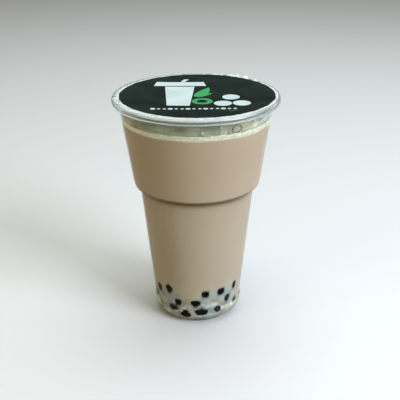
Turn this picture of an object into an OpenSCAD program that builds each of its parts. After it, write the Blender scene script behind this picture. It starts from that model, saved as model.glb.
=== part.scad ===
// Bubble tea: a clear sealing cup of milk tea with a froth on top, shut by a printed film that is
// heat-sealed to the rolled rim. Millimetres, Z up, origin at the centre of the foot's resting plane.

/* [Cup] */
// Diameter over the rolled rim, the standard of 95 mm sealing heads
rim_d = 95; // [78:0.5:116]
// Height from the foot to the top of the rim
cup_h = 138; // [114:0.5:170]
// Thickness of the thermoformed wall
wall = 0.5; // [0.35:0.05:0.8]
// Radius lost between the wall under the rim and the top of the shoulder
upper_taper = 6; // [3:0.1:8]
// Height of the shoulder's top
shoulder_z = 90.5; // [75:0.5:109]
// Radius lost at the shoulder
shoulder_w = 3.9; // [3.2:0.1:6]
// Height of the shoulder, from the crease to its top
shoulder_h = 5.4; // [4:0.1:9]
// Radius lost between the crease under the shoulder and the bottom
lower_taper = 7; // [4:0.1:9]

/* [Rim] */
// Width of the rolled lip outside the wall
lip_w = 3.9; // [3.2:0.1:5]
// Height of the rolled lip
lip_h = 3.8; // [2.8:0.1:4.5]
// Width of the lip's edge that is rolled back in under it
lip_return = 1.5; // [1.2:0.1:1.8]

/* [Bottom] */
// Height of the bulged band's top
band_z = 9; // [7.5:0.1:14]
// Depth of the groove above the band
groove_d = 0.6; // [0.3:0.05:0.8]
// Height of the groove
groove_h = 2; // [1.6:0.1:3]
// Height of the sloped heel under the band
heel_h = 4.4; // [3:0.1:4.8]
// Width from the band in to the middle of the foot's resting ring
heel_w = 6.3; // [4.8:0.1:7.2]
// Distance between the foot ring's two corners
foot_w = 2.8; // [2.3:0.1:3.6]
// Rise of the cup's bottom inside the foot ring
punt_h = 2.2; // [1.8:0.1:4]

/* [Contents] */
// Depth from the top of the rim to the froth
headspace = 11; // [6:0.2:30]
// Thickness of the froth on the tea
froth_h = 2.4; // [1:0.1:4]
// Clearance between the cup's wall and what fills it
contents_gap = 0.15; // [0.1:0.01:0.25]

/* [Film] */
// Thickness of the sealing film
film_t = 0.1; // [0.08:0.01:0.2]
// Width by which the rim reaches past the film's cut edge
film_inset = 0.3; // [0:0.1:0.8]

/* [Hidden] */
fillet_steps = 6;
around = 180;
punt_slope = 0.6;
foot_bend = 2;
heel_bend = 6;
band_lean = 0.5;
ledge_rise = 0.9;
shoulder_lean = 0.7;
shoulder_bend = 2.6;
side_bend = 3;
neck_bend = 0.7;
lip_bend_share = 0.42;
tight_bend = wall + contents_gap + 0.22;
rim_r = rim_d / 2;
neck_r = rim_r - lip_w;
shoulder_r = neck_r - upper_taper;
crease_r = shoulder_r - shoulder_w;
body_r = crease_r - lower_taper;
band_r = body_r + groove_d / 2;
groove_r = body_r - groove_d / 2;
foot_r = band_r - heel_w;
foot_in_r = foot_r - foot_w / 2;
foot_out_r = foot_r + foot_w / 2;
crease_z = shoulder_z - shoulder_h;
lip_z = cup_h - lip_h;
lip_bend = lip_bend_share * (lip_h - 2 * wall);
froth_z = cup_h - headspace;
tea_z = froth_z - froth_h;
film_r = rim_r - film_inset;

// The outside of the cup's wall, from the middle of the bottom, out and up the wall, over the top
// and down inside the lip. Each corner is [radius, height, fillet radius].
wall_corners = [
    [0, punt_h, 0],
    [foot_in_r - punt_slope, punt_h, tight_bend],
    [foot_in_r, 0, tight_bend],
    [foot_out_r, 0, foot_bend],
    [band_r - band_lean, heel_h, heel_bend],
    [band_r, band_z, tight_bend],
    [groove_r, band_z + groove_h / 2, tight_bend],
    [body_r, band_z + groove_h, tight_bend],
    [crease_r, crease_z, tight_bend],
    [shoulder_r - shoulder_lean, crease_z + ledge_rise, shoulder_bend],
    [shoulder_r, shoulder_z, side_bend],
    [neck_r, lip_z - wall, side_bend],
    [neck_r, cup_h - wall, neck_bend],
    [rim_r - wall, cup_h - wall, lip_bend],
    [rim_r - wall, lip_z + wall, lip_bend],
    [rim_r - wall - lip_return, lip_z + wall, 0]
];

wall_outside = rounded(wall_corners);
wall_inside = beside(wall_outside, wall);
contents_side = beside(wall_outside, wall + contents_gap);

// Unit vector from a to b, and the same turned a quarter to the left
function along(a, b) = (b - a) / norm(b - a);
function left_of(v) = [-v.y, v.x];
function point(c) = [c.x, c.y];

// The points of a line through corners, each corner rounded by its own fillet radius
function rounded(corners) = [
    for (i = [0 : len(corners) - 1])
        each corners[i][2] == 0
            ? [point(corners[i])]
            : fillet(point(corners[i - 1]), point(corners[i]), point(corners[i + 1]), corners[i][2])
];

// The arc of radius r that rounds the corner b between a and c
function fillet(a, b, c, r) =
    let (
        u = along(a, b),
        v = along(b, c),
        turn = atan2(u.x * v.y - u.y * v.x, u * v),
        start = b - u * r * tan(abs(turn) / 2),
        centre = start + left_of(u) * r * sign(turn)
    )
    [for (i = [0 : fillet_steps]) centre + spun(start - centre, turn * i / fillet_steps)];

function spun(v, a) = [v.x * cos(a) - v.y * sin(a), v.x * sin(a) + v.y * cos(a)];

// The line that runs beside another at distance d, on its left
function beside(line, d) = [
    for (i = [0 : len(line) - 1])
        let (
            u = along(line[max(i - 1, 0)], line[max(i, 1)]),
            v = along(line[min(i, len(line) - 2)], line[min(i + 1, len(line) - 1)]),
            n = left_of(u) + left_of(v)
        )
        line[i] + n * d / (1 + u * v)
];

function reversed(list) = [for (i = [len(list) - 1 : -1 : 0]) list[i]];

// How many points a line that ends upwards has before it first climbs past height z
function points_below(line, z, i = 0) = line[i].y >= z ? i : points_below(line, z, i + 1);

// The point of that line at height z
function point_at(line, z) =
    let (
        i = points_below(line, z),
        share = (z - line[i - 1].y) / (line[i].y - line[i - 1].y)
    )
    line[i - 1] + (line[i] - line[i - 1]) * share;

// A turned solid of the outline, which is given in radius and height
module turned(outline) {
    rotate_extrude($fn = around) polygon(outline);
}

// Thin-walled cup of one piece, with its raised bottom, shoulder and rolled lip
module cup() {
    color([0.86, 0.9, 0.86, 0.4])
        turned(concat(wall_outside, reversed(wall_inside)));
}

// Milk tea, filling the cup up to its level
module tea() {
    below = [for (i = [0 : points_below(contents_side, tea_z) - 1]) contents_side[i]];
    color([0.62, 0.53, 0.42])
        turned(concat(below, [point_at(contents_side, tea_z), [0, tea_z]]));
}

// Froth floating on the tea
module froth() {
    color([0.85, 0.82, 0.7])
        turned([
            [0, tea_z],
            point_at(contents_side, tea_z),
            point_at(contents_side, froth_z),
            [0, froth_z]
        ]);
}

// Sealing film, lying on the flat top of the lip
module film() {
    color([0.07, 0.08, 0.08])
        translate([0, 0, cup_h])
            cylinder(r = film_r, h = film_t, $fn = around);
}

cup();
tea();
froth();
film();
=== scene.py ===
"""Looks of the sealed bubble tea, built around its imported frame.

The cup, the tea, the froth and the film are turned or swept from named sizes in metres. The tapioca
pearls, the bubbles, the drops and the print are mesh pieces of their own.
"""

import math
import random
from collections import namedtuple

import bmesh
import bpy
import numpy as np
from mathutils import Matrix, Vector, noise


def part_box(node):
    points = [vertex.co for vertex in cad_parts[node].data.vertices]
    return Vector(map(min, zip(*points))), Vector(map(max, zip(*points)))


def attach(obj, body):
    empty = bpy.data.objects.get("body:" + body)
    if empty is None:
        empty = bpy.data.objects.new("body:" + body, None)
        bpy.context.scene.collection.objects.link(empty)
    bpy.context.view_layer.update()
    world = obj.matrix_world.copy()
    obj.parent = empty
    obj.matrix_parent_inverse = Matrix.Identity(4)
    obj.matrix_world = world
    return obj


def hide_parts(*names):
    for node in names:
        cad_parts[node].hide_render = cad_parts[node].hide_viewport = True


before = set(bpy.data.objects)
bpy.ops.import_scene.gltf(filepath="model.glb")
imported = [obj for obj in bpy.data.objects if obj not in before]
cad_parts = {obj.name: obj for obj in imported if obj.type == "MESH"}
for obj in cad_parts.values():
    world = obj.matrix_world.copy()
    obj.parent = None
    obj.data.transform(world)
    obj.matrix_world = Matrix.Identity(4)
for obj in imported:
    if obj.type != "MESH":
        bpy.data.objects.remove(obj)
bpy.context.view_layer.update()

MM = 0.001

# Levels and radii that the frame gives
RIM_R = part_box("cup")[1].x
CUP_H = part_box("cup")[1].z
TEA_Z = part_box("tea")[1].z
FROTH_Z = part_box("froth")[1].z
FILM_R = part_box("film")[1].x
FILM_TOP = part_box("film")[1].z

# The cup's wall, as in the CAD part
WALL = 0.5 * MM
LIP_W = 3.9 * MM
LIP_H = 3.8 * MM
LIP_RETURN = 1.5 * MM
UPPER_TAPER = 6 * MM
SHOULDER_Z = 90.5 * MM
SHOULDER_W = 3.9 * MM
SHOULDER_H = 5.4 * MM
SHOULDER_LEAN = 0.7 * MM
LEDGE_RISE = 0.9 * MM
LOWER_TAPER = 7 * MM
BAND_Z = 9 * MM
BAND_LEAN = 0.5 * MM
GROOVE_D = 0.6 * MM
GROOVE_H = 2 * MM
HEEL_H = 4.4 * MM
HEEL_W = 6.3 * MM
FOOT_W = 2.8 * MM
PUNT_H = 2.2 * MM
PUNT_SLOPE = 0.6 * MM

# The radii of its bends, also as in the CAD part
TIGHT_BEND = 0.87 * MM
FOOT_BEND = 2 * MM
HEEL_BEND = 6 * MM
SHOULDER_BEND = 2.6 * MM
SIDE_BEND = 3 * MM
NECK_BEND = 0.7 * MM
LIP_BEND = 1.18 * MM
BEND_STEPS = 10

# What follows from those sizes
NECK_R = RIM_R - LIP_W
SHOULDER_R = NECK_R - UPPER_TAPER
CREASE_R = SHOULDER_R - SHOULDER_W
BODY_R = CREASE_R - LOWER_TAPER
BAND_R = BODY_R + GROOVE_D / 2
GROOVE_R = BODY_R - GROOVE_D / 2
FOOT_IN_R = BAND_R - HEEL_W - FOOT_W / 2
FOOT_OUT_R = BAND_R - HEEL_W + FOOT_W / 2
GROOVE_Z = BAND_Z + GROOVE_H / 2
BODY_Z = BAND_Z + GROOVE_H
CREASE_Z = SHOULDER_Z - SHOULDER_H
LIP_Z = CUP_H - LIP_H
NECK_Z = CUP_H - WALL - NECK_BEND

# The outside of the wall, from the middle of the bottom, out and up the wall, over the top and down
# inside the lip. Each corner is [radius, height, radius of its bend].
WALL_CORNERS = [
    [0, PUNT_H, 0],
    [FOOT_IN_R - PUNT_SLOPE, PUNT_H, TIGHT_BEND],
    [FOOT_IN_R, 0, TIGHT_BEND],
    [FOOT_OUT_R, 0, FOOT_BEND],
    [BAND_R - BAND_LEAN, HEEL_H, HEEL_BEND],
    [BAND_R, BAND_Z, TIGHT_BEND],
    [GROOVE_R, GROOVE_Z, TIGHT_BEND],
    [BODY_R, BODY_Z, TIGHT_BEND],
    [CREASE_R, CREASE_Z, TIGHT_BEND],
    [SHOULDER_R - SHOULDER_LEAN, CREASE_Z + LEDGE_RISE, SHOULDER_BEND],
    [SHOULDER_R, SHOULDER_Z, SIDE_BEND],
    [NECK_R, LIP_Z - WALL, SIDE_BEND],
    [NECK_R, CUP_H - WALL, NECK_BEND],
    [RIM_R - WALL, CUP_H - WALL, LIP_BEND],
    [RIM_R - WALL, LIP_Z + WALL, LIP_BEND],
    [RIM_R - WALL - LIP_RETURN, LIP_Z + WALL, 0],
]

# How far the drink reaches into the wall, and how far a pearl that lies against it does
TEA_REACH = 0.12 * MM
PEARL_REACH = 0.26 * MM

# The depth of milky tea through which a pearl still darkens it by about a third
MILK_DEPTH = 0.13 * MM

# How many points go round the cup and round its contents
CUP_AROUND = 240
CONTENTS_AROUND = 288

# The pearls' radius and how far one is pressed into the wall, both before some chance. Then those that
# show from the front: degrees round from it, height in mm, and stretch sideways. They lie in layers.
PEARL_R = 4.1 * MM
PEARL_POKE = 0.68 * MM
FRONT_PEARLS = [
    (-34, 10, 1.2), (-16, 7.5, 1.2), (5, 9, 1.35), (27, 9.5, 1), (59, 10.5, 1),
    (-70, 14, 0.9), (-26, 15.5, 1), (-3, 16, 1.1), (42, 16, 0.9),
    (-58, 20.8, 0.95), (-39, 23.5, 0.95), (10, 22.5, 1), (31, 22.5, 1), (54, 23, 0.8),
]

# The layers of pearls behind: height in mm and how many. They run from BACK_START on over BACK_SPAN,
# in degrees.
BACK_LAYERS = [(9, 9), (15.8, 7), (22.5, 8)]
BACK_START = 75
BACK_SPAN = 195

# The small things on the froth and on the wall over it
BUBBLE_COUNT = 260
DROP_COUNT = 70
CLEAR_DROP_COUNT = 7

# The rings of two larger bubbles at the wall: degrees round from the front, height, radius and thickness
LARGE_BUBBLES = [
    (30, 129.9 * MM, 2.8 * MM, 0.38 * MM),
    (43, 132.4 * MM, 0.7 * MM, 0.3 * MM),
]

# The print on the film, whose middle lies a little off the cup's axis, and how far the white and green
# inks stand over its black and reach into it
PRINT_R = 44.1 * MM
PRINT_SHIFT = 0.6 * MM
PRINT_T = 0.1 * MM
PRINT_RINGS = 56
PRINT_AROUND = 216
INK_LIFT = 0.05 * MM
INK_SINK = 0.02 * MM

# The print's shapes, in mm from its middle: a cup with its lid and straw, three pearls, a row of dots, and
# two green leaves over a ring. A bar is its four corners, from the lower left one round to the upper left
# one. A leaf is its base, tip, width and bend. A disc is its middle and radius, then a ring's inner radius.
WHITE_BARS = [
    ((-16.3, -21), (-4, -21), (-1.6, 16.6), (-18.8, 16.6)),
    ((-25.5, 18.2), (5.2, 18.2), (3.8, 26.4), (-24.2, 26.4)),
    ((-10, 27.2), (-7.4, 27.2), (-5.2, 32.5), (-7.8, 32.5)),
]
WHITE_DISCS = [(18.8, -5, 4.9), (13.9, -17.2, 4.9), (24.1, -17.2, 4.9)]
DOT_COUNT = 15
DOT_STEP = 3.1
DOT_START = (-23.4, -27.2)
GREEN_LEAVES = [((-1.5, -3.5), (6.8, 15), 6, -1), ((-0.5, -4.2), (8.6, 3.2), 4.6, 0.6)]
GREEN_RING = (2.7, -12.9, 5.8, 2.9)
DARK_LEAF = ((16.3, -32), (22, -30), 3.0, 0.3)

# Where the rim and the film are whitened, partly by the sealing heat and partly as a painted highlight
# on the front, in degrees round from the front: wholly as far as the half width from the middle, then
# fading out. The rest has a little of it.
SEAL_AND_HIGHLIGHT_MIDDLE = -12
SEAL_AND_HIGHLIGHT_HALF = 38
SEAL_AND_HIGHLIGHT_FADE = 32
SEAL_AND_HIGHLIGHT_LEAST = 0.08

# The dark lines round the outside of the rolled rim: how far below its top, and their width
RIM_LINES = [1.5 * MM, 2.6 * MM, 3.7 * MM]
RIM_LINE_W = 0.28 * MM

# The film's clear margin, how far it reaches under the print, how its edge droops over the lip's
# outermost width, and how high its crinkles stand
MARGIN_T = 0.08 * MM
MARGIN_RINGS = 12
MARGIN_AROUND = 540
MARGIN_OVERLAP = 0.3 * MM
DROOP_W = 2.4 * MM
DROOP = 0.35 * MM
CRINKLE_H = 1.7 * MM

random.seed(7)


# ---------------------------------------------------------------- numbers and outlines

def smooth_step(x):
    x = np.clip(x, 0, 1)
    return x * x * (3 - 2 * x)


def bell(distance, width):
    """A smooth hump of height 1 at distance 0."""
    return np.exp(-(distance / width) ** 2)


def turn_of(co):
    """The degrees of points round the axis: 0 at the front, 90 on the right and -90 on the left."""
    return np.degrees(np.arctan2(co[:, 0], -co[:, 1]))


def apart(turn, middle):
    """The degrees from one place round the axis to another, from -180 to 180."""
    return (turn - middle + 180) % 360 - 180


def rough(x, y, z):
    """A smooth noise, which stays between about -1 and 1."""
    return noise.noise(Vector((x, y, z)))


def unit(v):
    return v / np.linalg.norm(v)


def left_of(v):
    return np.array([-v[1], v[0]])


def fillet(a, b, c, radius):
    """The arc that rounds the corner b between a and c."""
    u, v = unit(b - a), unit(c - b)
    turn = math.atan2(u[0] * v[1] - u[1] * v[0], float(u @ v))
    start = b - u * radius * math.tan(abs(turn) / 2)
    centre = start + left_of(u) * radius * math.copysign(1, turn)
    spoke = start - centre
    points = []
    for i in range(BEND_STEPS + 1):
        angle = turn * i / BEND_STEPS
        points.append(centre + spoke * math.cos(angle) + left_of(spoke) * math.sin(angle))
    return points


def rounded(corners):
    """A line through [radius, height, bend] corners, each rounded by its own bend."""
    spots = [np.array(c[:2], float) for c in corners]
    line = []
    for i, corner in enumerate(corners):
        if corner[2]:
            line += fillet(spots[i - 1], spots[i], spots[i + 1], corner[2])
        else:
            line.append(spots[i])
    return np.array(line)


def beside(line, distance):
    """The line that runs beside another, at a distance on its left."""
    out = []
    last = len(line) - 1
    for i, p in enumerate(line):
        u = unit(line[max(i, 1)] - line[max(i - 1, 0)])
        v = unit(line[min(i + 1, last)] - line[min(i, last - 1)])
        n = left_of(u) + left_of(v)
        out.append(p + n * distance / (1 + float(u @ v)))
    return np.array(out)


def up_to(line, z):
    """The first stretch of a line, up to height z."""
    i = next(k for k, p in enumerate(line) if p[1] >= z)
    share = (z - line[i - 1][1]) / (line[i][1] - line[i - 1][1])
    return np.vstack([line[:i], line[i - 1] + (line[i] - line[i - 1]) * share])


def divided(line, longest):
    """The line with extra points, so that no step at a height z is longer than longest(z)."""
    out = [line[0]]
    for a, b in zip(line[:-1], line[1:]):
        n = max(1, math.ceil(np.linalg.norm(b - a) / longest((a[1] + b[1]) / 2)))
        out += [a + (b - a) * k / n for k in range(1, n + 1)]
    return np.array(out)


def wall_radius(line, z):
    """The radius of a wall's line at height z, from the heel to the neck."""
    side = up_to(line, NECK_Z)
    side = side[side[:, 0] > FOOT_OUT_R]
    return np.interp(z, side[:, 1], side[:, 0])


OUTSIDE = rounded(WALL_CORNERS)
INSIDE = beside(OUTSIDE, WALL)
CONTENTS_SIDE = beside(OUTSIDE, WALL - TEA_REACH)
PEARL_SIDE = beside(OUTSIDE, WALL - PEARL_REACH)


# ---------------------------------------------------------------- meshes

# The bumps of a cup that isn't quite round: how many go round it, their height in mm, and where they
# start and how they twist with height, in radians and radians a metre
Bumps = namedtuple("Bumps", "count height start twist")
UNEVENNESS = [
    Bumps(2, 0.10, 0.6, 0),
    Bumps(3, 0.05, -1, 40),
    Bumps(5, 0.035, 0, 90),
    Bumps(9, 0.02, 2, 160),
]

# The height and the radius from which they are whole
UNEVEN_Z = 40 * MM
UNEVEN_R = 30 * MM


def warped(co):
    """A formed cup is never quite round: this bends all its pieces alike, by up to 0.2 mm."""
    co = np.array(co, float)
    x, y, z = co.T
    angle = np.arctan2(y, x)
    bend = sum(b.height * np.sin(b.count * angle + b.start + b.twist * z) for b in UNEVENNESS)
    grown = bend * MM * np.clip(z / UNEVEN_Z, 0, 1)
    k = 1 + grown / np.maximum(np.hypot(x, y), UNEVEN_R)
    return np.column_stack([x * k, y * k, z])


def make(name, co, faces, material, smooth_angle=50):
    """A mesh piece that rides on the cup's body."""
    mesh = bpy.data.meshes.new(name)
    mesh.from_pydata([tuple(p) for p in co], [], faces)
    mesh.validate()
    mesh.shade_smooth()
    mesh.set_sharp_from_angle(angle=math.radians(smooth_angle))
    mesh.materials.append(material)
    piece = bpy.data.objects.new(name, mesh)
    bpy.context.scene.collection.objects.link(piece)
    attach(piece, "root")
    return piece


def add_attribute(piece, name, values):
    """A number at each point of a piece, which its material reads."""
    attribute = piece.data.attributes.new(name, "FLOAT", "POINT")
    attribute.data.foreach_set("value", np.asarray(values, np.float32))


def lathe(line, around=CUP_AROUND, closed=False):
    """Points and faces of a line of [radius, height] turned about the axis."""
    co, faces, rings = [], [], []
    angles = np.arange(around) * 2 * math.pi / around
    for r, z in line:
        first = len(co)
        if math.isclose(r, 0, abs_tol=0.001 * MM):
            co.append((0, 0, z))
            rings.append([first] * around)
        else:
            co += [(r * math.cos(a), r * math.sin(a), z) for a in angles]
            rings.append(list(range(first, first + around)))
    pairs = list(zip(rings[:-1], rings[1:]))
    if closed:
        pairs.append((rings[-1], rings[0]))
    for low, high in pairs:
        for i in range(around):
            j = (i + 1) % around
            corners = [low[i], low[j], high[j], high[i]]
            kept = [c for k, c in enumerate(corners) if c != corners[k - 1]]
            if len(kept) > 2:
                faces.append(tuple(kept))
    return np.array(co), faces


def grid_faces(rows, columns, first=0, wrap=False):
    """The quads of a grid of points, row by row."""
    faces = []
    for i in range(rows - 1):
        for j in range(columns if wrap else columns - 1):
            k = (j + 1) % columns
            a = first + i * columns
            b = a + columns
            faces.append((a + j, a + k, b + k, b + j))
    return faces


def turned_over(faces):
    return [tuple(reversed(f)) for f in faces]


def icosphere(detail):
    """Points and faces of a unit ball."""
    ball = bmesh.new()
    bmesh.ops.create_icosphere(ball, subdivisions=detail, radius=1)
    co = np.array([v.co[:] for v in ball.verts])
    faces = [tuple(v.index for v in f.verts) for f in ball.faces]
    ball.free()
    return co, faces


def joined(parts):
    """Several (points, faces) as one."""
    co, faces, first = [], [], 0
    for points, some in parts:
        co.append(points)
        faces += [tuple(first + i for i in f) for f in some]
        first += len(points)
    return np.vstack(co), faces


# ---------------------------------------------------------------- materials

# The sockets of a node that mixes two colours
MIX_SHARE, MIX_A, MIX_B, MIX_RESULT = 0, 6, 7, 2


class Shader:
    """A node material that is built up a node at a time."""

    def __init__(self, name):
        self.material = bpy.data.materials.new(name)
        self.material.use_nodes = True
        self.tree = self.material.node_tree
        self.tree.nodes.clear()
        self.out = self.node("ShaderNodeOutputMaterial")

    def node(self, kind, links=None, **values):
        """A node with its links, and with its settings and sockets set to values."""
        n = self.tree.nodes.new(kind)
        for key, value in values.items():
            if key in n.bl_rna.properties:
                setattr(n, key, value)
            else:
                n.inputs[key.replace("_", " ")].default_value = value
        for key, source in (links or {}).items():
            self.tree.links.new(source, n.inputs[key])
        return n

    def feed(self, socket, value):
        """Sets a socket to a number or a colour, or links it to another node."""
        if isinstance(value, (int, float)):
            socket.default_value = value
        elif isinstance(value, tuple):
            socket.default_value = (*value, 1)
        else:
            self.tree.links.new(value, socket)

    def noise(self, scale, detail=3, roughness=0.5, squash=None):
        """A noise in the piece's own coordinates, in repeats per metre."""
        place = self.node("ShaderNodeTexCoord").outputs["Object"]
        if squash:
            place = self.node("ShaderNodeMapping", {"Vector": place}, Scale=squash).outputs[0]
        texture = self.node("ShaderNodeTexNoise", {"Vector": place}, Scale=scale, Detail=detail,
                            Roughness=roughness)
        return texture.outputs["Fac"]

    def height(self):
        """The height above the floor, in metres."""
        place = self.node("ShaderNodeTexCoord").outputs["Object"]
        return self.node("ShaderNodeSeparateXYZ", {"Vector": place}).outputs["Z"]

    def attribute(self, name):
        return self.node("ShaderNodeAttribute", attribute_name=name).outputs["Fac"]

    def span(self, source, low, high, to_low=0.0, to_high=1.0):
        """Goes from to_low to to_high as the source goes from low to high, and no further."""
        n = self.node("ShaderNodeMapRange", {"Value": source}, clamp=True, From_Min=low, From_Max=high,
                      To_Min=to_low, To_Max=to_high)
        return n.outputs["Result"]

    def over(self, source, to_low, to_high):
        """The same over the stretch where most of a noise lies."""
        return self.span(source, 0.3, 0.7, to_low, to_high)

    def math(self, operation, a, b):
        n = self.node("ShaderNodeMath", operation=operation)
        self.feed(n.inputs[0], a)
        self.feed(n.inputs[1], b)
        return n.outputs[0]

    def plus(self, a, b):
        return self.math("ADD", a, b)

    def times(self, a, b):
        return self.math("MULTIPLY", a, b)

    def mix(self, share, a, b):
        """A colour between a and b."""
        n = self.node("ShaderNodeMix", data_type="RGBA")
        self.feed(n.inputs[MIX_SHARE], share)
        self.feed(n.inputs[MIX_A], a)
        self.feed(n.inputs[MIX_B], b)
        return n.outputs[MIX_RESULT]

    def bump(self, source, distance, strength=1.0):
        n = self.node("ShaderNodeBump", {"Height": source}, Distance=distance, Strength=strength)
        return n.outputs["Normal"]

    def surface(self, links, **values):
        """The Principled shader, as the material's surface."""
        n = self.node("ShaderNodeBsdfPrincipled", links, **values)
        self.tree.links.new(n.outputs[0], self.out.inputs["Surface"])
        return n

    def lets_light_through(self, shader, tint):
        """Shadow rays pass, so that lamps reach what lies behind clear plastic."""
        clear = self.node("ShaderNodeBsdfTransparent", Color=(*tint, 1))
        path = self.node("ShaderNodeLightPath")
        both = self.node("ShaderNodeMixShader")
        self.tree.links.new(path.outputs["Is Shadow Ray"], both.inputs[0])
        self.tree.links.new(shader.outputs[0], both.inputs[1])
        self.tree.links.new(clear.outputs[0], both.inputs[2])
        self.tree.links.new(both.outputs[0], self.out.inputs["Surface"])


def clear_plastic(name, clearness, roughness, wave, ior=1.45, whitest_clearness=None):
    """Thermoformed polypropylene: clear with a slight milky haze, and faint draw marks.

    With a clearness given for where it is whitest, a point attribute says how much whiter it is, partly
    from the sealing heat and partly as a painted highlight, and another where dark lines and painted shade
    run.
    """
    s = Shader(name)
    haze = s.noise(70, 4)
    marks = s.noise(420, 2, squash=(1, 1, 0.08))
    ripple = s.plus(s.times(marks, 0.25), haze)
    tint = s.mix(haze, (0.86, 0.90, 0.87), (0.93, 0.95, 0.93))
    if whitest_clearness is not None:
        # Darker along dark lines, and where shade is painted on the rim's sides and in the film's folds
        tint = s.mix(s.attribute("dark_lines_and_shade"), tint, (0.16, 0.20, 0.21))
    shader = s.surface(
        {"Base Color": tint,
         "Roughness": s.over(haze, roughness * 0.7, roughness * 1.3),
         "Normal": s.bump(ripple, wave)},
        IOR=ior, Transmission_Weight=clearness)
    if whitest_clearness is not None:
        # Whiter where sealed, and where a highlight is painted at the front and on the film's crinkles
        whiter = s.span(s.attribute("sealed"), 0, 1, clearness, whitest_clearness)
        s.feed(shader.inputs["Transmission Weight"], whiter)
    s.lets_light_through(shader, (0.93, 0.95, 0.93))
    return s.material


# A patchy layer of colour near the foot, tone or painted light and shade: its share at the bottom of its
# stretch of heights, in mm, from which it fades to none at the top, the scale, detail and squash of its
# noise, and the stretch of that noise over which it goes from its least to its most
Patches = namedtuple("Patches", "colour share bottom top scale detail squash low high least most")
TEA_PATCHES = [
    # Pale milky tea between the pearls
    Patches((0.42, 0.42, 0.29), 0.8, 12, 32, 120, 2, None, 0.38, 0.6, 0.2, 1.0),
    # Painted cool light from the floor, in grey patches lower down
    Patches((0.28, 0.335, 0.325), 0.9, 20, 27, 95, 3, None, 0.42, 0.64, 0.0, 1.0),
    # Painted shade in dim spots among the pearls
    Patches((0.16, 0.175, 0.155), 0.75, 17, 22, 200, 3, None, 0.48, 0.68, 0.0, 1.0),
    # Painted glints: small bright spots
    Patches((0.56, 0.63, 0.61), 0.9, 14, 18, 180, 3, (1, 1, 1.6), 0.56, 0.68, 0.0, 1.0),
    # Painted shade in the heel
    Patches((0.11, 0.125, 0.125), 1.0, 2, 6, 90, 2, None, 0.35, 0.6, 0.4, 0.95),
]


def milk_tea():
    """Opaque milk tea: cloudy, paler among the pearls, and dark where a pearl is near. Painted into its
    colour are cool light, glints and shade among the pearls, shade in the heel, a shadow at the very bottom
    and shade along the crease.
    """
    s = Shader("milk_tea")
    z = s.height()
    clouds = s.noise(26, 3)
    lower = s.mix(clouds, (0.352, 0.281, 0.197), (0.402, 0.330, 0.240))
    upper = s.mix(clouds, (0.345, 0.260, 0.175), (0.392, 0.303, 0.214))
    colour = s.mix(s.span(z, 60 * MM, 105 * MM), lower, upper)
    for p in TEA_PATCHES:
        fade = s.span(z, p.bottom * MM, p.top * MM, p.share, 0.0)
        blots = s.span(s.noise(p.scale, p.detail, squash=p.squash), p.low, p.high, p.least, p.most)
        colour = s.mix(s.times(fade, blots), colour, p.colour)
    # Painted shadow: near black over the lowest few mm, at the foot
    colour = s.mix(s.span(z, 1.0 * MM, 2.8 * MM, 0.9, 0.0), colour, (0.02, 0.022, 0.022))
    colour = s.mix(s.attribute("pearl_shade"), colour, (0.008, 0.010, 0.010))
    # Painted shade along the crease under the shoulder
    colour = s.mix(s.attribute("crease_shade"), colour, (0.105, 0.060, 0.024))
    s.surface(
        {"Base Color": colour, "Roughness": s.over(clouds, 0.35, 0.5)},
        Subsurface_Weight=0.25, Subsurface_Radius=(1.0, 0.75, 0.5), Subsurface_Scale=0.8 * MM,
        IOR=1.34, Specular_IOR_Level=0.1)
    return s.material


def milk_froth():
    """Grainy froth: tea-coloured at its lower edge, thicker on the left, and with painted shade under the
    dark film on its open top.
    """
    s = Shader("milk_froth")
    fine = s.noise(900, 2)
    grain = s.noise(520, 3, 0.6, squash=(1, 1, 2.2))
    patches = s.noise(160, 3)
    edge = s.plus(s.height(), s.times(s.plus(patches, grain), 1.1 * MM))
    share = s.span(edge, TEA_Z + 0.9 * MM, TEA_Z + 1.7 * MM)
    foam = s.mix(s.span(grain, 0.36, 0.62), (0.42, 0.42, 0.30), (0.65, 0.655, 0.51))
    whiter = s.mix(s.attribute("thick_foam"), foam, (0.80, 0.74, 0.60))
    side = s.mix(share, (0.52, 0.42, 0.29), whiter)
    # Painted shade: the froth's open top is darkened as if shaded by the film over it
    s.surface(
        {"Base Color": s.mix(s.attribute("painted_film_shade"), side, (0.30, 0.34, 0.235)),
         "Roughness": s.over(fine, 0.5, 0.75),
         "Normal": s.bump(fine, 0.25 * MM, 0.6)},
        Subsurface_Weight=0.5, Subsurface_Radius=(1.0, 0.9, 0.8), Subsurface_Scale=1.5 * MM, IOR=1.34)
    return s.material


def milk_residue():
    """The thin milky film that sloshing leaves on the wall, in level streaks and smears."""
    s = Shader("milk_residue")
    streaks = s.noise(55, 4, 0.6, squash=(1, 1, 9))
    smears = s.noise(90, 3, squash=(1, 1, 0.2))
    blots = s.noise(170, 3)
    level = s.plus(s.span(s.height(), FROTH_Z, FROTH_Z + 8 * MM, 0.62, 0.28), s.attribute("smear"))
    share = s.times(level, s.span(streaks, 0.35, 0.65, 0.35, 1.0))
    share = s.times(share, s.span(smears, 0.35, 0.65, 0.45, 1.1))
    pale = s.mix(s.span(blots, 0.35, 0.62), (0.36, 0.41, 0.31), (0.66, 0.69, 0.55))
    s.surface(
        {"Base Color": s.mix(s.span(s.noise(32, 2), 0.46, 0.62, 0, 0.8), pale, (0.56, 0.46, 0.30)),
         "Alpha": s.times(share, s.span(blots, 0.3, 0.6, 0.6, 1.0)),
         "Roughness": s.over(blots, 0.4, 0.6)},
        Specular_IOR_Level=0.2)
    return s.material


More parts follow.
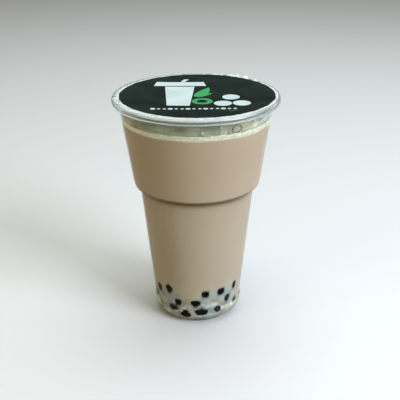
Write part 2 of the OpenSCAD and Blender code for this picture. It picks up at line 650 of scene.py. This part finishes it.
def ring_tea():
    """Dark tea that is drawn up round a bubble."""
    s = Shader("ring_tea")
    blots = s.noise(500, 2)
    s.surface(
        {"Base Color": s.mix(blots, (0.035, 0.035, 0.022), (0.15, 0.125, 0.08)),
         "Roughness": s.over(blots, 0.25, 0.4)},
        Specular_IOR_Level=0.3)
    return s.material


def tapioca():
    """Near-black chewy pearls, wet but without a glint, as they lie in tea."""
    s = Shader("tapioca")
    mottle = s.noise(380, 3)
    s.surface(
        {"Base Color": s.mix(mottle, (0.0006, 0.0008, 0.0008), (0.004, 0.003, 0.0025)),
         "Roughness": s.over(mottle, 0.22, 0.4),
         "Normal": s.bump(mottle, 0.2 * MM, 0.4)},
        Specular_IOR_Level=0.03)
    return s.material


def ink(name, dark, light, roughness, specular=0.35):
    """Ink under a thin glossy film, a little cloudy."""
    s = Shader(name)
    clouds = s.noise(60, 4, 0.6)
    fine = s.noise(700, 2)
    s.surface(
        {"Base Color": s.mix(s.span(clouds, 0.35, 0.75), dark, light),
         "Roughness": s.over(clouds, roughness * 0.8, roughness * 1.25),
         "Normal": s.bump(s.plus(clouds, s.times(fine, 0.06)), 0.5 * MM, 0.5)},
        Specular_IOR_Level=specular)
    return s.material


def floor_paper():
    s = Shader("floor_paper")
    grain = s.noise(220, 3)
    s.surface(
        {"Base Color": s.mix(grain, (0.92, 0.92, 0.915), (0.94, 0.94, 0.935)),
         "Roughness": s.over(grain, 0.75, 0.9)},
        Specular_IOR_Level=0.2)
    return s.material


# ---------------------------------------------------------------- the cup

def front_share(turn):
    """How much whitening a place round the rim has, partly the sealing heat's and partly a painted
    highlight: most at the front.
    """
    away = np.abs(apart(turn, SEAL_AND_HIGHLIGHT_MIDDLE))
    return SEAL_AND_HIGHLIGHT_LEAST + (1 - SEAL_AND_HIGHLIGHT_LEAST) * (1 - smooth_step((away - SEAL_AND_HIGHLIGHT_HALF) / SEAL_AND_HIGHLIGHT_FADE))


def cup_step(z):
    """Long steps up the side, and short ones at the foot and the rim."""
    return 4 * MM if BODY_Z < z < CUP_H - 8 * MM else 1.2 * MM


def make_cup():
    """The clear wall. Its rim is whiter where it is sealed, with a painted highlight making it whitest at
    the front, and it bends the light more than the side.

    The side's refractive index is well below the real plastic's, which is about 1.49, so that what lies
    behind it shows and the pale floor isn't mirrored over the pearls.
    """
    outside = divided(OUTSIDE, cup_step)
    inside = divided(INSIDE, cup_step)
    co, faces = lathe(np.vstack([outside, inside[::-1]]))
    side = clear_plastic("clear_plastic", clearness=0.999, roughness=0.06, wave=0.12 * MM, ior=1.11)
    rim = clear_plastic("clear_plastic_rim", clearness=0.95, roughness=0.08, wave=0.3 * MM,
                        whitest_clearness=0.62)
    groove = clear_plastic("clear_plastic_groove", clearness=0.999, roughness=0.07, wave=0.2 * MM,
                           ior=1.16)
    cup = make("cup_wall", warped(co), faces, side, 60)
    cup.data.materials.append(rim)
    cup.data.materials.append(groove)
    shade_rim(cup, co)
    centres = np.zeros(len(cup.data.polygons) * 3)
    cup.data.polygons.foreach_get("center", centres)
    centres = centres.reshape(-1, 3)
    radius = np.hypot(centres[:, 0], centres[:, 1])
    on_rim = radius > NECK_R + 0.15 * MM
    on_groove = (np.abs(centres[:, 2] - GROOVE_Z) < GROOVE_H) & (radius > FOOT_IN_R)
    cup.data.polygons.foreach_set("material_index", on_rim.astype(np.int32) + 2 * on_groove)
    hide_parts("cup")


def shade_rim(cup, co):
    """The rim's whitening on top, partly the seal's and partly a painted highlight at the front, and the
    dark lines round its outside, with painted shade making them strongest at the sides.
    """
    front = front_share(turn_of(co))
    on_top = smooth_step((co[:, 2] - CUP_H + 1.7 * MM) / (0.8 * MM))
    # Painted highlight: the whitening on top is weighted to the front
    add_attribute(cup, "sealed", on_top * front)
    lines = sum(bell(CUP_H - co[:, 2] - depth, RIM_LINE_W) for depth in RIM_LINES)
    outer = np.hypot(co[:, 0], co[:, 1]) > RIM_R - 2.2 * MM
    # Painted shade: the dark lines are strongest at the sides, away from the painted highlight at the front
    add_attribute(cup, "dark_lines_and_shade", np.minimum(1, lines) * outer * (0.75 - 0.62 * front))


# ---------------------------------------------------------------- the tea, the froth and the pearls

def tea_step(z):
    """Short steps where the pearls darken the tea and where shade is painted along the crease."""
    return 0.8 * MM if z < 32 * MM or abs(z - SHOULDER_Z) < 10 * MM else 2.5 * MM


def make_tea(pearls):
    """The tea, darkened where a pearl lies at the wall or just behind it, and with painted shade along the
    crease.
    """
    outline = divided(up_to(CONTENTS_SIDE, TEA_Z), tea_step)
    level_top = [[20 * MM, TEA_Z], [0, TEA_Z]]
    co, faces = lathe(np.vstack([outline, level_top]), CONTENTS_AROUND)
    tea = make("milk_tea", warped(co), faces, milk_tea())
    shade = np.zeros(len(co))
    for centre, radius, side, stretch in pearls:
        gap = np.linalg.norm(unstretched(co - centre, side, stretch), axis=1) - radius
        shade = np.maximum(shade, np.exp(-np.maximum(gap, 0) / MILK_DEPTH))
    add_attribute(tea, "pearl_shade", shade)
    # Painted shade: a dark band at the crease, below the shoulder's overhang
    below = smooth_step((co[:, 2] - CREASE_Z + 3.4 * MM) / (1.4 * MM))
    above = 1 - smooth_step((co[:, 2] - CREASE_Z - 1.3 * MM) / (1.9 * MM))
    add_attribute(tea, "crease_shade", below * above * 0.9)
    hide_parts("tea")


def froth_relief(x, y):
    """The height of the froth's lumps over its level, and of its climb up the wall."""
    lumps = 0.35 * noise.noise(Vector((x, y, 0)) * 130) + 0.2 * noise.noise(Vector((x, y, 3)) * 420)
    climb = max(0.0, math.hypot(x, y) - 40 * MM) / (2.5 * MM)
    return (lumps + 0.5 * climb ** 2) * MM


def make_froth(material):
    side = up_to(CONTENTS_SIDE, FROTH_Z)
    lower = up_to(side, TEA_Z - 0.4 * MM)[-1]
    upper = side[-1]
    edge = np.linspace(lower, upper, 7)
    top = [[r, FROTH_Z] for r in np.linspace(upper[0], 0, 61)[1:]]
    co, faces = lathe(np.vstack([[[0, lower[1]]], edge, top]), CONTENTS_AROUND)
    for place in co:
        if place[2] > FROTH_Z - 0.01 * MM:
            place[2] += froth_relief(place[0], place[1])
    froth = make("froth_layer", warped(co), faces, material)
    inward = (upper[0] - np.hypot(co[:, 0], co[:, 1])) / (2.5 * MM)
    # Painted shade under the dark film, over the froth's open top
    add_attribute(froth, "painted_film_shade", smooth_step(inward) * (co[:, 2] > FROTH_Z - 0.2 * MM) * 0.8)
    add_attribute(froth, "thick_foam", 0.6 * bell(apart(turn_of(co), -52), 24))
    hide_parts("froth")


def make_bubbles(material):
    """Bubbles that stand out of the froth, most of them against the wall."""
    ball, ball_faces = icosphere(2)
    parts = []
    wall = wall_radius(INSIDE, FROTH_Z)
    for _ in range(BUBBLE_COUNT):
        radius = (0.25 + 0.5 * random.random() ** 2.5) * MM
        angle = random.uniform(0, 2 * math.pi)
        reach = wall - 0.6 * radius - 2.2 * MM * random.random() ** 2.2
        x, y = reach * math.cos(angle), reach * math.sin(angle)
        z = FROTH_Z + froth_relief(x, y) - 0.25 * radius
        parts.append((ball * radius * np.array([1, 1, 0.8]) + (x, y, z), ball_faces))
    co, faces = joined(parts)
    make("froth_bubbles", warped(co), faces, material)


def pearl_places():
    """Where the pearls lie: as seen from the front, and in three loose layers behind.

    Each is its middle, its radius, the way along the wall at its place, and its stretch that way.
    """
    spots = [(math.radians(turn), z * MM, stretch) for turn, z, stretch in FRONT_PEARLS]
    for layer, (low, count) in enumerate(BACK_LAYERS):
        for k in range(count):
            step = k + 0.5 + 0.5 * (layer % 2)
            angle = math.radians(BACK_START + step * BACK_SPAN / count + random.uniform(-6, 6))
            z = (low + random.uniform(-1.5, 1.5)) * MM
            spots.append((angle, z, random.uniform(0.85, 1.2)))
    pearls = []
    for angle, z, stretch in spots:
        radius = PEARL_R * random.uniform(0.94, 1.06)
        poke = PEARL_POKE * random.uniform(0.75, 1.25)
        reach = wall_radius(INSIDE, z) + TEA_REACH + poke - radius
        centre = np.array([reach * math.sin(angle), -reach * math.cos(angle), z])
        side = np.array([math.cos(angle), math.sin(angle), 0])
        pearls.append((centre, radius, side, stretch))
    return pearls


def unstretched(offsets, side, stretch):
    """Offsets from a pearl's middle, as they would be if it were round."""
    along_side = offsets @ side
    upward = offsets[:, 2]
    return (offsets + np.outer(along_side * (1 / stretch - 1), side)
            + np.outer(upward * (stretch ** 0.6 - 1), [0, 0, 1]))


def make_pearls(pearls):
    """Chewy balls, slightly uneven and pressed flat where they lie against the wall."""
    ball, ball_faces = icosphere(4)
    parts = []
    for number, (centre, radius, side, stretch) in enumerate(pearls):
        lumps = np.array([noise.noise(Vector(p * 1.1) + Vector((number * 3.1, 0, 0))) for p in ball])
        offsets = ball * (radius * (1 + 0.05 * lumps))[:, None]
        co = centre + unstretched(offsets, side, 1 / stretch)
        flattening = np.minimum(1, wall_radius(PEARL_SIDE, co[:, 2]) / np.hypot(co[:, 0], co[:, 1]))
        co[:, 0] *= flattening
        co[:, 1] *= flattening
        parts.append((co, ball_faces))
    co, faces = joined(parts)
    make("tapioca_pearls", warped(co), faces, tapioca())


# ---------------------------------------------------------------- drops, residue and large bubbles

def wall_drop(angle, z, width, height, depth):
    """A drop that clings to the inside of the wall."""
    ball, faces = icosphere(3)
    r = wall_radius(INSIDE, z) + 0.04 * MM
    angles = angle + ball[:, 1] * width / r
    reach = r - np.maximum(ball[:, 0], -0.02) * depth
    co = np.column_stack([reach * np.sin(angles), -reach * np.cos(angles), z + ball[:, 2] * height])
    return co, faces


def make_drops(material):
    """Tea splashed up the wall over the froth."""
    parts = []
    for _ in range(DROP_COUNT):
        angle = random.uniform(0, 2 * math.pi)
        z = FROTH_Z + (0.4 + 6 * random.random() ** 2.2) * MM
        size = random.uniform(0.15, 0.4) * MM
        parts.append(wall_drop(angle, z, size, size * random.uniform(0.8, 1.5), 0.25 * MM))
    co, faces = joined(parts)
    make("wall_drops", warped(co), faces, material)


def make_clear_drops(material):
    """Larger clear drops over the froth, away from the front."""
    parts = []
    for _ in range(CLEAR_DROP_COUNT):
        angle = math.radians(random.uniform(55, 300))
        z = FROTH_Z + random.uniform(1.5, 7) * MM
        size = random.uniform(0.25, 0.5) * MM
        parts.append(wall_drop(angle, z, size, size, 0.2 * MM))
    co, faces = joined(parts)
    make("clear_drops", warped(co), faces, material)


def make_residue():
    """A sleeve on the wall over the froth, smeared most at the sides and in two places at the front."""
    heights = np.linspace(FROTH_Z + 0.2 * MM, LIP_Z, 12)
    outer = np.column_stack([wall_radius(INSIDE, heights) - 0.02 * MM, heights])
    inner = outer[::-1] - [0.04 * MM, 0]
    co, faces = lathe(np.vstack([outer, inner]), closed=True)
    piece = make("wall_residue", warped(co), faces, milk_residue())
    turn = turn_of(co)
    smear = 0.3 * bell(apart(turn, -55), 24) + 0.4 * bell(apart(turn, 48), 22)
    smear += 0.6 * np.abs(np.sin(np.radians(turn))) ** 14
    add_attribute(piece, "smear", smear)


def bubble_ring(turn, z, radius, tube):
    """The ring of tea where a bubble touches the wall, a little wider than it is high."""
    around, sides = 48, 8
    middle = math.radians(turn)
    co = []
    for i in range(around):
        a = 2 * math.pi * i / around
        for k in range(sides):
            b = 2 * math.pi * k / sides
            spread = radius + tube * math.cos(b)
            height = z + spread * math.sin(a) * 0.75
            r = wall_radius(INSIDE, height) + tube * (math.sin(b) - 0.5)
            angle = middle + spread * math.cos(a) / r
            co.append((r * math.sin(angle), -r * math.cos(angle), height))
    faces = []
    for i in range(around):
        here, there = i * sides, (i + 1) % around * sides
        for k in range(sides):
            n = (k + 1) % sides
            faces.append((here + n, there + n, there + k, here + k))
    return np.array(co), faces


def make_large_bubbles(material):
    """A large bubble and a small one against the wall."""
    co, faces = joined([bubble_ring(*sizes) for sizes in LARGE_BUBBLES])
    make("large_bubbles", warped(co), faces, material)


# ---------------------------------------------------------------- the film and its print

def film_height(x, y):
    """The height of the film's top: a slight sag, and faint creases that die out at the seal."""
    r = math.hypot(x, y)
    inner = max(0.0, 1 - (r / PRINT_R) ** 2)
    creases = rough(x * 28, y * 46, 1) + 0.4 * rough(x * 110, y * 90, 5)
    pleats = math.sin(23 * math.atan2(y, x) + 3 * rough(x * 60, y * 60, 9))
    sag = -0.55 * inner + 0.22 * creases * min(1, 3 * inner)
    return FILM_TOP + (sag + 0.05 * pleats * bell(r - 41 * MM, 3 * MM)) * MM


def crinkle_share(turn):
    """How crinkled the film's edge is: most at the back on the right."""
    return min(1, 0.15 + 1.15 * bell(apart(turn, 148), 17) + 0.25 * bell(apart(turn, -70), 25))


def margin_point(angle, share):
    """A point of the film's margin, from the print (share 0) out to its ragged cut edge (share 1).

    With it come how much the film is whitened there, by the sealing heat and as a painted highlight at the
    front and on the crinkles' ridges, and how dark it is, as a line at the cut edge and as painted shade in
    the crinkles' folds.
    """
    ray = Vector((math.cos(angle), math.sin(angle)))
    turn = math.degrees(angle) + 90
    crinkle = crinkle_share(turn)
    ragged = 0.3 * rough(ray.x * 9, ray.y * 9, 2) + 1.1 * crinkle ** 3
    print_edge = PRINT_SHIFT * ray.x + math.sqrt(PRINT_R ** 2 - (PRINT_SHIFT * ray.y) ** 2)
    inner = print_edge - MARGIN_OVERLAP
    outer = FILM_R + (ragged - 0.35) * MM
    r = inner + (outer - inner) * share
    fold = 1.3 * rough(ray.x * 15, ray.y * 15, r * 260) + 0.8 * rough(ray.x * 44, ray.y * 44, r * 500)
    past = max(0.0, r - (RIM_R - DROOP_W)) / DROOP_W
    seat = max(0.0, r - NECK_R) / LIP_W
    z = FILM_TOP - DROOP * past ** 2 + CRINKLE_H * seat * crinkle * max(-0.1, fold)
    band = 1 - smooth_step((r - inner - 1.2 * MM) / (0.5 * MM))
    # Painted highlight: whiter at the front and on the crinkles' ridges, as well as in the sealed band
    sealed = max(band, 0.5 * front_share(turn), (0.4 + 1.2 * fold) * crinkle)
    # Painted shade in the crinkles' hollows, and a dark line along the cut edge
    dark_lines_and_shade = 0.5 * bell(r - outer + 0.25 * MM, 0.25 * MM) + max(0.0, -1.5 * fold * crinkle)
    return (r * ray.x, r * ray.y, z), sealed, dark_lines_and_shade


def make_film_edge(material):
    """The film's clear margin, sealed to the lip, with its ragged and crinkled cut edge."""
    around, rings = MARGIN_AROUND, MARGIN_RINGS
    top, sealed, dark_lines_and_shade = [], [], []
    for k in range(rings + 1):
        for j in range(around):
            place, whitened, line_and_shade = margin_point(2 * math.pi * j / around, k / rings)
            top.append(place)
            sealed.append(whitened)
            dark_lines_and_shade.append(line_and_shade)
    co = np.vstack([top, np.array(top) - [0, 0, MARGIN_T]])
    count = len(top)
    last = count - around
    faces = turned_over(grid_faces(rings + 1, around, 0, True))
    faces += grid_faces(rings + 1, around, count, True)
    for j in range(around):
        n = (j + 1) % around
        faces.append((last + j, last + n, count + last + n, count + last + j))
        faces.append((n, j, count + j, count + n))
    edge = make("film_edge", co, faces, material, 35)
    add_attribute(edge, "sealed", np.clip(np.tile(sealed, 2), 0, 1))
    add_attribute(edge, "dark_lines_and_shade", np.clip(np.tile(dark_lines_and_shade, 2), 0, 0.8))
    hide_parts("film")


def make_print_disc(material):
    """The printed middle of the film, as a thin closed disc that follows it."""
    around = PRINT_AROUND
    top = []
    for k in range(PRINT_RINGS + 1):
        r = PRINT_R * k / PRINT_RINGS
        for j in range(around):
            a = 2 * math.pi * j / around
            x, y = PRINT_SHIFT + r * math.cos(a), r * math.sin(a)
            top.append((x, y, film_height(x, y)))
    count = len(top)
    last = count - around
    faces = turned_over(grid_faces(PRINT_RINGS + 1, around, 0, True))
    faces += grid_faces(PRINT_RINGS + 1, around, count, True)
    for j in range(around):
        n = (j + 1) % around
        faces.append((last + n, last + j, count + last + j, count + last + n))
    co = np.vstack([top, np.array(top) - [0, 0, PRINT_T]])
    make("film_print", co, faces, material)


def patch(place, columns, rows):
    """A patch of ink: place(u, v) with u and v from 0 to 1 gives x and y in mm on the print."""
    top = []
    for i in range(rows + 1):
        for j in range(columns + 1):
            x, y = place(j / columns, i / rows)
            x, y = PRINT_SHIFT + x * MM, y * MM
            top.append((x, y, film_height(x, y)))
    wide = columns + 1
    count = len(top)
    faces = grid_faces(rows + 1, wide) + turned_over(grid_faces(rows + 1, wide, count))
    edge = (list(range(wide))
            + [i * wide + columns for i in range(1, rows + 1)]
            + [rows * wide + j for j in range(columns - 1, -1, -1)]
            + [i * wide for i in range(rows - 1, 0, -1)])
    faces += [(a, count + a, count + b, b) for a, b in zip(edge, edge[1:] + edge[:1])]
    return np.vstack([np.array(top) + [0, 0, INK_LIFT], np.array(top) - [0, 0, INK_SINK]]), faces


def bar(*corners):
    """A straight-sided patch between four corners."""
    low_left, low_right, high_right, high_left = [np.array(c, float) for c in corners]

    def place(u, v):
        low = low_left * (1 - u) + low_right * u
        high = high_left * (1 - u) + high_right * u
        return low * (1 - v) + high * v
    return patch(place, 14, 14)


def disc(x, y, radius, inner=0.0):
    """A round patch, or a ring with its inner radius."""
    def place(u, v):
        a = 2 * math.pi * u
        r = inner + (radius - inner) * (1 - v)
        return x + r * math.cos(a), y + r * math.sin(a)
    return patch(place, 40, 6)


def leaf(base, tip, width, bend):
    """A leaf from its base to its tip, bent to one side."""
    base = np.array(base, float)
    way = np.array(tip, float) - base
    across = left_of(unit(way))

    def place(u, v):
        spine = base + way * u + across * bend * math.sin(math.pi * u)
        return spine + across * width * (v - 0.5) * math.sin(math.pi * u ** 0.8) ** 0.85
    return patch(place, 26, 8)


def make_ink(name, parts, material):
    co, faces = joined(parts)
    make(name, co, faces, material)


def make_print():
    """A generic print: a white cup with a straw, a green leaf and ring, three white pearls and dots."""
    black = ink("film_black", (0.001, 0.007, 0.006), (0.010, 0.030, 0.024), roughness=0.15,
                specular=0.04)
    dark_green = ink("ink_dark_green", (0.004, 0.045, 0.022), (0.01, 0.08, 0.04), roughness=0.25)
    green = ink("ink_green", (0.03, 0.40, 0.11), (0.06, 0.55, 0.17), roughness=0.3)
    white = ink("ink_white", (0.70, 0.87, 0.84), (0.84, 0.96, 0.94), roughness=0.35)
    dots = []
    for k in range(DOT_COUNT):
        dots.append(disc(DOT_START[0] + DOT_STEP * k, DOT_START[1], 0.9 if k % 3 else 1.4))
    make_print_disc(black)
    make_ink("print_dark_green", [leaf(*DARK_LEAF)], dark_green)
    make_ink("print_green", [leaf(*sizes) for sizes in GREEN_LEAVES] + [disc(*GREEN_RING)], green)
    make_ink("print_white", [bar(*corners) for corners in WHITE_BARS]
             + [disc(*sizes) for sizes in WHITE_DISCS] + dots, white)


# ---------------------------------------------------------------- the object

def build():
    make_cup()
    pearls = pearl_places()
    make_tea(pearls)
    make_pearls(pearls)
    froth = milk_froth()
    make_froth(froth)
    make_bubbles(froth)
    make_drops(froth)
    make_clear_drops(clear_plastic("drop_water", clearness=0.98, roughness=0.12, wave=0.02 * MM))
    make_residue()
    make_large_bubbles(ring_tea())
    make_film_edge(clear_plastic("film_clear", clearness=0.9, roughness=0.14, wave=0.3 * MM, ior=1.3,
                                 whitest_clearness=0.2))
    make_print()


# ---------------------------------------------------------------- floor, lamps and camera

def add_floor():
    """A wide pale floor, a hair under the foot."""
    reach = 6.0
    corners = [(-reach, -reach, 0), (reach, -reach, 0), (reach, reach, 0), (-reach, reach, 0)]
    mesh = bpy.data.meshes.new("floor")
    mesh.from_pydata(corners, [], [(0, 1, 2, 3)])
    mesh.materials.append(floor_paper())
    floor = bpy.data.objects.new("floor", mesh)
    bpy.context.scene.collection.objects.link(floor)
    floor.location.z = -0.02 * MM


def add_lamp(name, place, size, power, colour):
    """A rectangular lamp that points at the middle of the cup's height."""
    lamp = bpy.data.lights.new(name, "AREA")
    lamp.shape = "RECTANGLE"
    lamp.size, lamp.size_y = size
    lamp.energy = power
    lamp.color = colour
    thing = bpy.data.objects.new(name, lamp)
    bpy.context.scene.collection.objects.link(thing)
    thing.location = place
    aim = Vector((0, 0, 0.07))
    thing.rotation_euler = (aim - Vector(place)).to_track_quat("-Z", "Y").to_euler()


def add_lights():
    add_lamp("key", (0.75, -0.55, 0.55), (0.5, 0.7), power=8.8, colour=(0.89, 0.95, 1.11))
    add_lamp("top", (0.1, 0.2, 1.2), (0.9, 0.9), power=7.8, colour=(0.88, 0.99, 1.0))
    add_lamp("left_fill", (-0.8, -0.5, 0.4), (0.5, 0.5), power=1.35, colour=(1.0, 0.72, 0.12))
    world = bpy.data.worlds.new("studio")
    world.use_nodes = True
    background = world.node_tree.nodes["Background"]
    background.inputs["Color"].default_value = (1.0, 0.96, 0.87, 1)
    background.inputs["Strength"].default_value = 0.2
    bpy.context.scene.world = world


def add_camera():
    """The photo's view: 0.4 m away, looking down by 25 degrees."""
    distance, elevation, roll = 0.3997, math.radians(25.0), math.radians(-0.35)
    target = Vector((0.0018, 0, 0.0722))
    forward = Vector((0, math.cos(elevation), -math.sin(elevation)))
    camera = bpy.data.cameras.new("camera")
    camera.lens = 59.5
    camera.sensor_width = 36
    camera.clip_start = 0.01
    thing = bpy.data.objects.new("camera", camera)
    bpy.context.scene.collection.objects.link(thing)
    turn = forward.to_track_quat("-Z", "Y").to_matrix().to_4x4() @ Matrix.Rotation(roll, 4, "Z")
    thing.matrix_world = Matrix.Translation(target - forward * distance) @ turn
    bpy.context.scene.camera = thing


build()
add_floor()
add_lights()
add_camera()
bpy.context.scene.view_settings.view_transform = "Standard"
